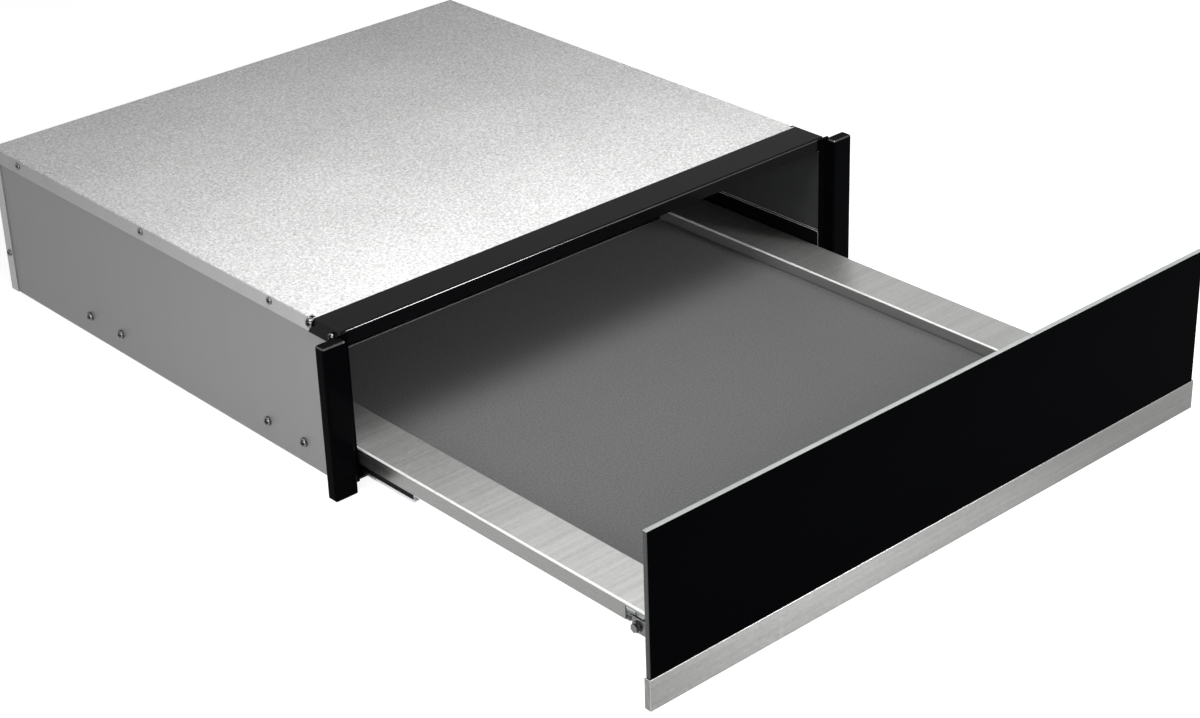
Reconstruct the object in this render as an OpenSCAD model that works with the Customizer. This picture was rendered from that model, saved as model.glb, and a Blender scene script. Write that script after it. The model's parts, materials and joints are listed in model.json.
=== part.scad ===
// Built-in warming drawer, standing open. Millimetres, +Z up, the front faces -Y.
// The origin is the centre of the underside of the case, which rests on the niche floor.

/* [Case] */
// Overall width of the case, over the flanges of the cover
case_w = 524; // [490:1:560]
// Depth of the case, from the front plane to the back panel
case_d = 514; // [480:1:600]
// Height of the case
case_h = 139; // [132:1:180]
// Thickness of the case's sheet steel
sheet_t = 1; // [0.8:0.1:1.2]
// Depth of the cover's flange over each side panel
cover_flange_h = 13; // [11:1:20]
// Outer radius of the folds in the case's sheet
fold_r = 1.5; // [1.3:0.1:2]
// Width of the back panel's flange over each side panel
back_flange_w = 11; // [9:1:20]
// Distance of the base pan behind the front plane
base_recess = 15; // [12:1:20]
// Depth of the bay behind the cavity that holds the fan
bay_d = 46; // [44:1:70]
// Gap between the cavity's ceiling and the top of the case
roof_gap = 12; // [11:1:16]
// Height of the ledge in the side liners above the underside
ledge_z = 50; // [46:1:85]
// Distance of the lower side liner from the inside of the side panel
liner_step = 3.6; // [3:0.1:4.5]

/* [Front frame] */
// Width over the two side trims
frame_w = 572; // [556:1:590]
// Width of a side trim's bar
trim_w = 21.5; // [18:0.5:23]
// Depth of a side trim in front of the front plane
trim_d = 11; // [8:0.5:14]
// Height of the lower end of the side trims
trim_foot_z = 5; // [3:0.5:10]
// Distance of the upper end of the side trims below the top
trim_drop = 2; // [1:0.5:6]
// Radius of the side trims' edges
trim_edge_r = 2; // [1:0.5:3]
// Thickness of the front frame's sheet
frame_t = 1.5; // [1.2:0.1:1.6]
// Depth of the top rail
rail_d = 33.5; // [28:0.5:40]
// Height of the top rail's front lip
rail_lip_h = 12; // [11:0.5:14]
// Height of the top rail's folded ends
rail_end_h = 14; // [12:0.5:16]
// Slant of the folded ends' back edge
rail_slant = 8; // [6:0.5:10]
// Radius of the top rail's front edge
rail_edge_r = 1.8; // [1.7:0.1:3]

/* [Drawer front] */
// Width of the drawer front
panel_w = 594; // [576:1:600]
// Height of the drawer front
panel_h = 140; // [132:1:180]
// Height of the drawer front's lower edge
panel_foot_z = 2; // [1:0.5:5]
// Thickness of the glass
glass_t = 4; // [3:0.5:6]
// Height of the steel strip along the lower edge
strip_h = 25; // [20:1:40]
// Thickness of the strip's sheet
strip_t = 1; // [0.8:0.1:1.2]
// Height of the strip's lip behind the glass
strip_lip_h = 9; // [6:1:12]
// Thickness of the carrier plate behind the glass
carrier_t = 3; // [2.5:0.5:5]
// Distance of the carrier plate from the edges of the glass
carrier_inset = 12; // [8:1:16]
// Gap between the carrier plate and the side trims when closed
close_gap = 2.5; // [2.2:0.1:5]
// Distance that the drawer stands open
drawer_open = 353.5; // [300:0.5:380]

/* [Tray] */
// Width of the tray's flat rims
rim_w = 43; // [36:1:48]
// Height of the rims above the underside of the case
rim_z = 37.5; // [36:0.5:45]
// Depth of the skirt on the outside of the rims
skirt_h = 14; // [12:0.5:15]
// Gap between a skirt and the side liner
skirt_gap = 1.4; // [1:0.1:2]
// Thickness of the tray's sheet
tray_t = 1; // [0.8:0.1:1.2]
// Depth of the tray from its rims to its floor
tray_depth = 12; // [10:0.5:13]
// Thickness of the anti-slip mat
mat_t = 2; // [1:0.5:4]
// Gap between the mat and the tray's walls
mat_gap = 0.5; // [0:0.1:3]
// Corner radius of the mat
mat_r = 6; // [1:1:20]
// Height of the pan below the rims
pan_h = 24.5; // [22:0.5:27]
// Height of the stop at the back of the tray above its floor
back_stop_h = 2; // [1:0.5:6]
// Gap between the closed tray and the back panel
tray_gap = 2.5; // [1.5:0.5:6]
// Gap between the closed pan and the latch's bay
back_gap = 2.5; // [1.5:0.5:6]

/* [Runners] */
// Width of the three runner members together
runner_w = 13; // [12.6:0.1:13.4]
// Height of the fixed runner member
runner_h = 27.6; // [26.6:0.1:28]
// Thickness of the runner members
runner_t = 1.2; // [1:0.1:1.4]
// Distance from the front plane to the fixed runner member
runner_set_back = 52; // [51:1:70]
// Gap between the runner and the underside of the rim
runner_roof_gap = 1.7; // [1:0.1:2]
// Length of the middle runner member
middle_len = 342; // [300:1:345]
// Length of the drawer's runner member
drawer_member_len = 400; // [360:1:404]
// Diameter of the runner balls
ball_d = 2; // [1.8:0.1:2.1]
// Distance between runner balls
ball_pitch = 20; // [14:1:40]
// Thickness of the ball cages
cage_t = 0.8; // [0.6:0.1:1]
// Length of the outer ball cages
outer_cage_len = 200; // [120:1:210]
// Length of the inner ball cages
inner_cage_len = 110; // [80:1:120]
// Width of the brackets between the side panels and the runners
bracket_w = 6.5; // [6.3:0.1:7.2]
// Height of a runner bracket
bracket_h = 11; // [9:0.5:11.5]
// Length of a runner bracket
bracket_len = 64; // [58:1:76]
// Distance between the two screws of a runner bracket
bracket_screw_pitch = 49; // [36:1:50]

/* [Panel fixing] */
// Length of the brackets that hold the drawer front
panel_bracket_len = 62; // [50:1:63]
// Height of the brackets that hold the drawer front
panel_bracket_h = 12.5; // [12:0.5:19]
// Thickness of the brackets that hold the drawer front
panel_bracket_t = 1.5; // [1:0.1:2]
// Radius of the adjusting bolt's head
bolt_head_r = 4.5; // [3.5:0.1:5]
// Height of the adjusting bolt's head
bolt_head_h = 3.4; // [2.5:0.1:4]
// Radius of the adjusting bolt's shank
bolt_r = 2.5; // [2:0.1:3]
// Radius of the rubber buffers
buffer_r = 5; // [3:0.5:7]
// Height of the rubber buffers
buffer_h = 2; // [1.2:0.1:2.2]

/* [Fan and heater] */
// Gap between the tray's rims and the floor of the fan bay
bay_gap = 4.5; // [3:0.5:8]
// Gap between the heater ring and the floor and roof of the fan bay
ring_gap = 2.5; // [1.5:0.5:5]
// Depth of the fan wheel
fan_d = 16; // [12:0.5:18]
// Number of blades on the fan wheel
fan_blades = 16; // [8:1:24]
// Radius of the fan shaft
fan_shaft_r = 2; // [1.5:0.1:3]
// Running gap between a shaft and its hole
shaft_gap = 0.05; // [0.02:0.01:0.09]
// Depth of the motor
motor_d = 17; // [14:0.5:18]
// Radius of the heater tube
heater_r = 3.2; // [2.5:0.1:4]
// Gap between the heater ring and the fan wheel
heater_gap = 4; // [2:0.5:6]
// Radius of the holes in the duct panel
duct_hole_r = 2.6; // [1.5:0.1:3]
// Radius of the temperature limiter
limiter_r = 8; // [6:0.5:12]
// Height of the temperature limiter
limiter_h = 6; // [4:0.5:10]

/* [Controls] */
// Depth of the control strip behind the drawer front
control_d = 49; // [44:1:60]
// Radius of the thermostat knob
knob_r = 17; // [14:0.5:19]
// Height of the thermostat knob
knob_h = 15; // [12:0.5:20]
// Gap under the thermostat knob
knob_gap = 0.8; // [0.4:0.1:2]
// Distance of the knob to the right of the middle
knob_x = 150; // [130:1:170]
// Radius of the thermostat shaft
knob_shaft_r = 3; // [2.5:0.1:3.5]
// Length of the power switch
switch_len = 24; // [22:0.5:30]
// Width of the power switch
switch_w = 15; // [14:0.5:20]
// Distance of the power switch to the right of the middle
switch_x = 96; // [80:1:110]
// Angle that the rocker tilts each way
rocker_tilt = 7; // [4:1:9]
// Radius of the indicator lamp
lamp_r = 3.5; // [2.5:0.1:5]
// Distance of the indicator lamp to the right of the middle
lamp_x = 66; // [50:1:74]

/* [Latch] */
// Distance of the latch to the right of the middle
latch_x = 150; // [120:1:190]
// Height of the latch above the underside
latch_z = 16.5; // [16:0.1:17.5]
// Radius of the latch plunger
plunger_r = 3.5; // [2.5:0.1:3.8]
// Distance that the latch plunger travels
plunger_travel = 3.5; // [2:0.5:6]
// Gap between the plunger and the closed drawer
plunger_gap = 0.5; // [0.3:0.1:1]

/* [Power inlet and screws] */
// Radius of the hole for the mains cable
inlet_r = 4; // [3:0.1:6]
// Radius of the runner screws' heads
runner_head_r = 4; // [3:0.1:5]
// Height of the runner screws' heads
runner_head_h = 3.4; // [2.5:0.1:4]
// Radius of the sheet screws' heads
sheet_head_r = 3.2; // [2.5:0.1:4]
// Height of the sheet screws' heads
sheet_head_h = 2; // [1.4:0.1:3]
// Radius of the screws' shanks
screw_r = 2; // [1.5:0.1:2.2]
// Radius of the holes that fix the base to the niche floor
floor_hole_r = 2.5; // [2:0.1:3.5]
// Distance across the case between the floor holes
floor_hole_w = 420; // [360:1:440]
// Distance from front to back between the floor holes
floor_hole_d = 400; // [340:1:420]

/* [Hidden] */
$fn = 48;
cut = 1;

half_w = case_w / 2;
front_y = -case_d / 2;
back_y = case_d / 2;
side_out = half_w - sheet_t;
side_in = side_out - sheet_t;
side_top = case_h - frame_t;
cover_under = case_h - sheet_t;
roof_z = case_h - roof_gap;
base_front = front_y + base_recess;
back_in = back_y - sheet_t;
duct_y = back_y - bay_d;
duct_back = duct_y + sheet_t;
liner_in = side_in - liner_step;

skirt_out = liner_in - skirt_gap;
rim_in = skirt_out - rim_w;
rim_under = rim_z - tray_t;
skirt_foot = rim_z - skirt_h;
tray_floor = rim_z - tray_depth;
tray_under = tray_floor - tray_t;
pan_z = rim_under - pan_h;
pan_out = side_in - bracket_w - runner_w;
pan_in = pan_out - tray_t;

carrier_back_shut = front_y - trim_d - close_gap;
tray_front = carrier_back_shut - drawer_open;
tray_len = back_in - tray_gap - carrier_back_shut;
tray_back = tray_front + tray_len;
glass_back = tray_front - carrier_t;
glass_front = glass_back - glass_t;
strip_front = glass_front - strip_t;
panel_top = panel_foot_z + panel_h;
strip_top = panel_foot_z + strip_h;
control_back = tray_front + control_d;
back_stop_y = tray_back - tray_t;
pan_back = tray_front + duct_y - back_gap - 2 * tray_t - carrier_back_shut;

runner_out = side_in - bracket_w;
runner_z = rim_under - runner_roof_gap - runner_h / 2;
runner_front = front_y + runner_set_back;
runner_back = duct_y - sheet_t;
ball_room = ball_d + 0.3 * ball_d;
middle_h = runner_h - 2 * runner_t - 2 * ball_room;
inner_h = middle_h - 2 * runner_t - 2 * ball_room;
lower_rail_gap = 0.6;
lower_rail_z = min(pan_z, runner_z - middle_h / 2) - lower_rail_gap;
web_gap = runner_w / 5.4;
middle_out = runner_out - runner_t - web_gap;
middle_end_gap = 9;
middle_share = 0.5;
middle_back = runner_back - middle_end_gap - drawer_open * middle_share;
middle_front = middle_back - middle_len;
drawer_member_front = tray_front + panel_bracket_len + 5 * tray_t;
bracket_top = skirt_foot - sheet_t;
bracket_z = bracket_top - bracket_h;
bracket_front_y = runner_front + bracket_len / 2 + 3 * sheet_t;
bracket_places_shares = [0, 0.763];
bracket_room = runner_back - bracket_len / 2 - bracket_front_y;
runner_screw_z = bracket_z + bracket_h * 0.73;

fan_y = duct_back + 5 * sheet_t;
bay_z = rim_z + bay_gap;
bay_floor_z = bay_z + sheet_t;
fan_z = (bay_floor_z + roof_z) / 2;
heater_ring_r = (roof_z - bay_floor_z) / 2 - ring_gap - heater_r;
fan_r = heater_ring_r - heater_r - heater_gap;
motor_share = 0.7;
motor_r = fan_r * motor_share;
heater_y = fan_y + fan_d / 2;
motor_front = back_in - motor_d;

control_y = (tray_front + control_back) / 2;
knob_foot = rim_z + knob_gap;
gauge_t = 1.5;
thermostat_w = 30;
thermostat_h = 17;
switch_body_h = 17;
lamp_body_h = 15;
bezel_h = 1.6;
rocker_gap = 0.6;
hole_gap = 0.6;
pivot_r = 1.2;
rocker_len = switch_len - 4 * bezel_h;
rocker_w = switch_w - 4 * bezel_h;
rocker_h = 5;
pivot_z = rim_z - bezel_h;

plunger_tip = pan_back + drawer_open + plunger_gap;
latch_len = 32;
latch_r = plunger_r + 2;
latch_foot_w = 2 * latch_r + 16;

// Shared shapes

// A box from its lowest to its highest corner
module block(low, high) {
    translate(low)
        cube(high - low);
}

// The same thing on both sides of the middle
module both_sides() {
    children();
    mirror([1, 0, 0])
        children();
}

// A flat outline in X and Z, drawn out along Y
module along_y(from, to) {
    translate([0, to, 0])
        rotate([90, 0, 0])
        linear_extrude(height = to - from)
        children();
}

// A flat outline in Y and Z, drawn out along X
module along_x(from, to) {
    translate([from, 0, 0])
        rotate([90, 0, 90])
        linear_extrude(height = to - from)
        children();
}

// A round bar along Y
module rod_y(x, z, r, from, to) {
    translate([x, to, z])
        rotate([90, 0, 0])
        cylinder(h = to - from, r = r);
}

// A round bar along X, on the right-hand side
module rod_x(y, z, r, from, to) {
    translate([from, y, z])
        rotate([0, 90, 0])
        cylinder(h = to - from, r = r);
}

// A round bar along Z
module rod_z(x, y, r, from, to) {
    translate([x, y, from])
        cylinder(h = to - from, r = r);
}

// A rectangle with its two upper corners rounded
module arch(w, h, r) {
    square([w, h - r]);
    translate([r, 0])
        square([w - 2 * r, h]);
    for (x = [r, w - r])
        translate([x, h - r])
            circle(r = r);
}

// A folded sheet, open below, from x = left to x = right, with its top at z = top
module fold(left, right, top, left_h, right_h, t, r) {
    tall = max(left_h, right_h);
    w = right - left;
    translate([left, top - tall])
        difference() {
            arch(w, tall, r);
            translate([t, -cut])
                arch(w - 2 * t, tall - t + cut, r - t + t / 4);
            translate([-cut, -cut])
                square([w / 2 + cut, tall - left_h + cut]);
            translate([w / 2, -cut])
                square([w / 2 + cut, tall - right_h + cut]);
        }
}

// A screw along X on the right-hand side: a pan head outside, and its shank inside
module side_screw(y, z, seat_x, head_r, head_h, reach) {
    difference() {
        union() {
            rod_x(y, z, head_r, seat_x, seat_x + head_h * 0.4);
            translate([seat_x + head_h * 0.4, y, z])
                rotate([0, 90, 0]) {
                    cylinder(h = head_h * 0.35, r1 = head_r, r2 = head_r * 0.85);
                    cylinder(h = head_h * 0.6, r1 = head_r * 0.85, r2 = head_r * 0.55);
                }
            rod_x(y, z, screw_r, seat_x - reach, seat_x);
        }
        for (turn = [0, 90])
            translate([seat_x + head_h, y, z])
                rotate([turn, 0, 0])
                cube([head_h, head_r, head_r / 4], center = true);
    }
}

// A screw along Y from behind
module back_screw(x, z, seat_y, reach) {
    difference() {
        union() {
            rod_y(x, z, sheet_head_r, seat_y, seat_y + sheet_head_h);
            rod_y(x, z, screw_r, seat_y - reach, seat_y);
        }
        for (turn = [0, 90])
            translate([x, seat_y + sheet_head_h, z])
                rotate([0, turn, 0])
                cube([sheet_head_r, sheet_head_h, sheet_head_r / 4], center = true);
    }
}

// A screw along Z from above
module top_screw(x, y, seat_z, head_h, reach) {
    difference() {
        union() {
            rod_z(x, y, sheet_head_r, seat_z, seat_z + head_h);
            rod_z(x, y, screw_r, seat_z - reach, seat_z);
        }
        for (turn = [0, 90])
            translate([x, y, seat_z + head_h])
                rotate([0, 0, turn])
                cube([sheet_head_r, sheet_head_r / 4, head_h], center = true);
    }
}

bend_share = 1.15;

// A wire that runs straight from point to point, with a tie at each bend
module wire(points, r) {
    for (i = [1 : len(points) - 1]) {
        run = points[i] - points[i - 1];
        translate(points[i - 1])
            rotate([0, acos(run[2] / norm(run)), atan2(run[1], run[0])])
            cylinder(h = norm(run), r = r, $fn = 16);
    }
    for (i = [1 : len(points) - 2])
        translate(points[i])
            sphere(r = r * bend_share, $fn = 16);
}

// Case

cover_screw_shares = [0.177, 0.531, 0.911];
cover_screw_z = case_h - cover_flange_h * 0.36;
corner_screw_y = front_y + rail_d + runner_head_r;
back_screw_share = 0.27;
rail_screw_y = front_y + rail_d * 0.27;
rail_screw_z = case_h - rail_end_h * 0.47;

module top_cover() {
    notch = fold_r * 2;
    color("gainsboro")
    difference() {
        along_y(front_y + rail_d, back_y)
            fold(-half_w, half_w, case_h, cover_flange_h, cover_flange_h, sheet_t, fold_r);
        rail_ends(cut);
        both_sides() {
            for (share = cover_screw_shares)
                rod_x(front_y + case_d * share, cover_screw_z, screw_r, side_in, half_w + cut);
            rod_x(corner_screw_y, cover_screw_z, screw_r, side_in, half_w + cut);
            rod_x(corner_screw_y, case_h - sheet_t / 2, notch, side_out - notch, half_w + cut);
        }
    }
}

module side_panel() {
    color("darkgray")
    difference() {
        block([side_in, front_y, sheet_t], [side_out, back_in, side_top]);
        for (share = cover_screw_shares)
            rod_x(front_y + case_d * share, cover_screw_z, screw_r, side_in - cut, half_w);
        rod_x(corner_screw_y, cover_screw_z, screw_r, side_in - cut, half_w);
        rod_x(rail_screw_y, rail_screw_z, screw_r, side_in - cut, half_w);
        rod_x(back_y - back_flange_w / 2, case_h * back_screw_share, screw_r, side_in - cut, half_w);
        runner_screw_holes();
        block([side_in - cut, front_y - cut, case_h - rail_lip_h], [half_w, front_y + frame_t, case_h]);
    }
}
module side_panel_right() { side_panel(); }
module side_panel_left() { mirror([1, 0, 0]) side_panel(); }

vent_w = 4;
vent_h = 34;
vent_pitch = 9;
vent_count = 9;
vent_x_share = 0.55;
gland_x_share = 0.8;
gland_x = -half_w * gland_x_share;
gland_r = inlet_r + 2.5;
gland_z = bay_floor_z + 2.6 * gland_r;
motor_screw_r = motor_r + screw_r + sheet_head_r / 2;

module back_panel() {
    color("silver")
    difference() {
        union() {
            block([-side_out, back_in, 0], [side_out, back_y, cover_under]);
            both_sides()
                block([side_out, back_y - back_flange_w, 0], [half_w, back_y, case_h - cover_flange_h]);
        }
        both_sides()
            rod_x(back_y - back_flange_w / 2, case_h * back_screw_share, screw_r, side_in, half_w + cut);
        for (side = [-1, 1], i = [0 : vent_count - 1])
            translate([side * half_w * vent_x_share + (i - (vent_count - 1) / 2) * vent_pitch, back_in, fan_z])
                cube([vent_w, 3 * sheet_t, vent_h], center = true);
        rod_y(gland_x, gland_z, gland_r, back_in - cut, back_y + cut);
        motor_screw_holes();
        back_screw_holes();
    }
}

module motor_screw_holes() {
    for (x = [-motor_screw_r, motor_screw_r])
        rod_y(x, fan_z, screw_r, motor_front + motor_d / 2, back_y + cut);
}

back_screw_x_shares = [-0.9, -0.35, 0.35, 0.9];
base_flange_h = 9;

module back_screw_holes() {
    for (share = back_screw_x_shares)
        rod_y(half_w * share, sheet_t + base_flange_h / 2, screw_r, back_in - 3 * sheet_t, back_y + cut);
}

base_slot_count = 7;
base_slot_pitch = 14;
base_slot_w = 5;
base_slot_len = 60;
base_slot_shares = [-0.5, 0.5];

module base_pan() {
    slot_y = duct_y - 1.5 * base_slot_len;
    color("silver")
    difference() {
        union() {
            block([-side_out, base_front, 0], [side_out, back_in, sheet_t]);
            both_sides()
                block([side_in - sheet_t, base_front, 0], [side_in, back_in, base_flange_h]);
            block([-side_in, back_in - sheet_t, 0], [side_in, back_in, base_flange_h]);
        }
        for (x = [-floor_hole_w / 2, floor_hole_w / 2], y = [-floor_hole_d / 2, floor_hole_d / 2])
            rod_z(x, y, floor_hole_r, -cut, sheet_t + cut);
        for (share = base_slot_shares, i = [0 : base_slot_count - 1])
            translate([half_w * share + (i - (base_slot_count - 1) / 2) * base_slot_pitch, slot_y, 0])
                cube([base_slot_w, base_slot_len, 3 * sheet_t], center = true);
        back_screw_holes();
    }
}

module side_liner() {
    color("black")
    along_y(front_y, duct_y) {
        translate([liner_in, bracket_top + sheet_t / 2])
            square([sheet_t, ledge_z - bracket_top - sheet_t / 2]);
        translate([liner_in, ledge_z - sheet_t])
            square([side_in - liner_in, sheet_t]);
        translate([side_in - sheet_t, ledge_z - sheet_t])
            square([sheet_t, roof_z - ledge_z + sheet_t]);
        translate([liner_in, roof_z - sheet_t])
            square([side_in - liner_in, sheet_t]);
    }
}
module side_liner_right() { side_liner(); }
module side_liner_left() { mirror([1, 0, 0]) side_liner(); }

module cavity_ceiling() {
    bead_w = 8;
    bead_shares = [0.25, 0.5, 0.75];
    color("dimgray")
    union() {
        block([-side_in, front_y + frame_t, roof_z], [side_in, duct_back, roof_z + sheet_t]);
        for (share = bead_shares)
            block([-liner_in + bead_w, front_y + case_d * share - bead_w / 2, roof_z],
                  [liner_in - bead_w, front_y + case_d * share + bead_w / 2, roof_z + 2 * sheet_t]);
    }
}

duct_rings = 3;
duct_slot_count = 8;
duct_slot_pitch = 12;
duct_slot_share = 0.62;

module duct_panel() {
    intake_r = fan_r * 0.8;
    color("black")
    difference() {
        block([-side_in, duct_y, bay_floor_z], [side_in, duct_back, roof_z]);
        rod_y(0, fan_z, duct_hole_r, duct_y - cut, duct_back + cut);
        for (ring = [1 : duct_rings], i = [0 : 6 * ring - 1])
            rod_y(intake_r * ring / duct_rings * cos(i * 60 / ring),
                  fan_z + intake_r * ring / duct_rings * sin(i * 60 / ring),
                  duct_hole_r, duct_y - cut, duct_back + cut);
        for (side = [-1, 1], i = [0 : duct_slot_count - 1])
            translate([side * half_w * vent_x_share + (i - (duct_slot_count - 1) / 2) * duct_slot_pitch, duct_y, fan_z])
                cube([vent_w, 3 * sheet_t, (roof_z - bay_floor_z) * duct_slot_share], center = true);
    }
}

// The floor of the fan bay, below which the back of the closed tray goes
module bay_floor() {
    color("black")
    block([-side_in, duct_y, bay_z], [side_in, back_in, bay_floor_z]);
}

// Front frame

// The rail's folded ends, whose back edge slants under the cover's corner screw
module rail_ends(past) {
    both_sides()
        along_x(side_out, half_w + past)
        polygon([[front_y + frame_t, case_h - frame_t / 2],
                 [front_y + frame_t, case_h - rail_end_h],
                 [front_y + rail_d + rail_slant, case_h - rail_end_h],
                 [front_y + rail_d, case_h - frame_t / 2]]);
}

module top_rail() {
    color([0.05, 0.05, 0.055])
    difference() {
        union() {
            along_x(-half_w, half_w)
                difference() {
                    translate([front_y, case_h - rail_lip_h])
                        arch_left(rail_d, rail_lip_h, rail_edge_r);
                    translate([front_y + frame_t, case_h - rail_lip_h - cut])
                        arch_left(rail_d, rail_lip_h - frame_t + cut, rail_edge_r - frame_t);
                }
            along_x(-side_in, side_in)
                translate([front_y + rail_d - frame_t, cover_under - frame_t])
                    square([rail_d * 0.4, frame_t]);
            rail_ends(0);
        }
        both_sides() {
            rod_x(rail_screw_y, rail_screw_z, screw_r, side_in, half_w + cut);
            rod_x(corner_screw_y, cover_screw_z, screw_r, side_in, half_w + cut);
        }
    }
}

// A rectangle with only its upper left corner rounded
module arch_left(w, h, r) {
    square([w, h - r]);
    translate([r, 0])
        square([w - r, h]);
    translate([r, h - r])
        circle(r = r);
}

module lower_rail() {
    color([0.05, 0.05, 0.055])
    union() {
        block([-side_in, front_y, lower_rail_z - frame_t], [side_in, base_front, lower_rail_z]);
        block([-side_in, base_front - frame_t, 0], [side_in, base_front, lower_rail_z]);
        block([-side_in + sheet_t, base_front - frame_t, sheet_t],
              [side_in - sheet_t, base_front + base_recess, sheet_t + frame_t]);
    }
}

module side_trim() {
    trim_in = frame_w / 2 - trim_w;
    trim_top = case_h - trim_drop;
    flange_t = 2;
    e = trim_edge_r;
    color([0.04, 0.04, 0.045])
    union() {
        hull()
            for (x = [trim_in + e, frame_w / 2 - e], y = [front_y - trim_d + e, front_y - e]) {
                rod_z(x, y, e, trim_foot_z + e / 2, trim_top - e / 2, $fn = 24);
                rod_z(x, y, e / 2, trim_foot_z, trim_top, $fn = 24);
            }
        block([liner_in, front_y - flange_t, lower_rail_z - frame_t],
              [trim_in + e, front_y, case_h - frame_t / 3]);
    }
}
module side_trim_right() { side_trim(); }
module side_trim_left() { mirror([1, 0, 0]) side_trim(); }

// Runners

module runner_brackets() {
    color("lightsteelblue")
    both_sides()
    for (share = bracket_places_shares)
        difference() {
            block([runner_out, bracket_y(share) - bracket_len / 2, bracket_z],
                  [side_in, bracket_y(share) + bracket_len / 2, bracket_top]);
            block([runner_out + runner_t, bracket_y(share) - bracket_len, bracket_z + runner_t],
                  [side_in - runner_t, bracket_y(share) + bracket_len, bracket_top + cut]);
            runner_screw_holes();
        }
}

function bracket_y(share) = bracket_front_y + bracket_room * share;

module runner_screw_holes() {
    for (share = bracket_places_shares, side = [-1, 1])
        rod_x(bracket_y(share) + side * bracket_screw_pitch / 2, runner_screw_z, screw_r,
              runner_out + 2 * runner_t, side_out + cut);
}

// A channel that opens inward, with its back at x = back, centred on the runner's height
module channel(back, depth, h, t, from, to) {
    along_y(from, to)
        difference() {
            translate([back - depth, runner_z - h / 2])
                square([depth, h]);
            translate([back - depth - cut, runner_z - h / 2 + t])
                square([depth - t + cut, h - 2 * t]);
        }
}

module fixed_runner() {
    color("silver")
    channel(runner_out, runner_w * 0.65, runner_h, runner_t, runner_front, runner_back);
}
module fixed_runner_right() { fixed_runner(); }
module fixed_runner_left() { mirror([1, 0, 0]) fixed_runner(); }

module middle_runner() {
    groove_t = runner_t / 2;
    color("silver")
    difference() {
        channel(middle_out, runner_w * 0.46, middle_h, runner_t, middle_front, middle_back);
        along_y(middle_front - cut, middle_back + cut)
            translate([middle_out - groove_t, runner_z - middle_h * 0.36])
                square([groove_t + cut, middle_h * 0.3]);
    }
}
module middle_runner_right() { middle_runner(); }
module middle_runner_left() { mirror([1, 0, 0]) middle_runner(); }

drawer_member_depth = runner_w * 0.46;
inner_web_x = middle_out - runner_t - web_gap / 3;

module drawer_runner() {
    color("silver")
    along_y(drawer_member_front, drawer_member_front + drawer_member_len)
        difference() {
            translate([pan_out, runner_z - inner_h / 2])
                square([drawer_member_depth, inner_h]);
            translate([pan_out + runner_t, runner_z - inner_h / 2 + runner_t])
                square([drawer_member_depth, inner_h - 2 * runner_t]);
        }
}
module drawer_runner_right() { drawer_runner(); }
module drawer_runner_left() { mirror([1, 0, 0]) drawer_runner(); }

// A cage plate between two webs, folded in over the ball rows
module ball_cage(web_x, fold_w, row_z, from, to) {
    ball_x = web_x - fold_w * 0.75;
    along_y(from, to)
        difference() {
            translate([web_x - fold_w, runner_z - row_z - cage_t / 2])
                square([fold_w, 2 * row_z + cage_t]);
            translate([web_x - fold_w - cut, runner_z - row_z + cage_t / 2])
                square([fold_w - cage_t + cut, 2 * row_z - cage_t]);
        }
    for (side = [-1, 1], y = [from + ball_pitch / 2 : ball_pitch : to - ball_d])
        translate([ball_x, y, runner_z + side * row_z])
            sphere(d = ball_d, $fn = 24);
}

module outer_ball_cages() {
    middle_y = (runner_front + middle_back) / 2;
    row_z = runner_h / 2 - runner_t - ball_room / 2;
    color("gold")
    both_sides()
        ball_cage(middle_out + web_gap / 2 + cage_t / 2, runner_w * 0.4, row_z,
                  middle_y - outer_cage_len / 2, middle_y + outer_cage_len / 2);
}

module inner_ball_cages() {
    middle_y = (middle_front + drawer_member_front + drawer_member_len) / 2;
    row_z = middle_h / 2 - runner_t - ball_room / 2;
    color("gold")
    both_sides()
        ball_cage(inner_web_x, runner_w * 0.23, row_z,
                  middle_y - inner_cage_len / 2, middle_y + inner_cage_len / 2);
}

// Drawer front

module front_glass() {
    glass_w = panel_w - 2 * strip_t;
    color([0.02, 0.02, 0.03])
    block([-glass_w / 2, glass_front, panel_foot_z + strip_t], [glass_w / 2, glass_back, panel_top]);
}

module front_strip() {
    color("silver")
    union() {
        block([-panel_w / 2, strip_front, panel_foot_z], [panel_w / 2, glass_front, strip_top]);
        block([-panel_w / 2, strip_front, panel_foot_z],
              [panel_w / 2, glass_back + strip_t, panel_foot_z + strip_t]);
        block([-panel_w / 2, glass_back, panel_foot_z],
              [panel_w / 2, glass_back + strip_t, panel_foot_z + strip_t + strip_lip_h]);
        both_sides()
            block([panel_w / 2 - strip_t, strip_front, panel_foot_z], [panel_w / 2, glass_back + strip_t, strip_top]);
    }
}

module front_carrier() {
    carrier_w = panel_w - 2 * strip_t - 2 * carrier_inset;
    foot = panel_foot_z + strip_lip_h + 2 * strip_t;
    corner = 4 * carrier_t;
    color("dimgray")
    along_y(glass_back, tray_front)
        polygon([
            [-carrier_w / 2, foot],
            [carrier_w / 2, foot],
            [carrier_w / 2, panel_top - carrier_inset - corner],
            [carrier_w / 2 - corner, panel_top - carrier_inset],
            [-carrier_w / 2 + corner, panel_top - carrier_inset],
            [-carrier_w / 2, panel_top - carrier_inset - corner]
        ]);
}

bolt_y = tray_front + panel_bracket_len - bolt_head_r - 0.3 * bolt_r;
bracket_foot_z = pan_z;
bolt_z = bracket_foot_z + bolt_head_r + 0.2 * bolt_r;

panel_bracket_x = pan_out + runner_w * 0.55;

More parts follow.
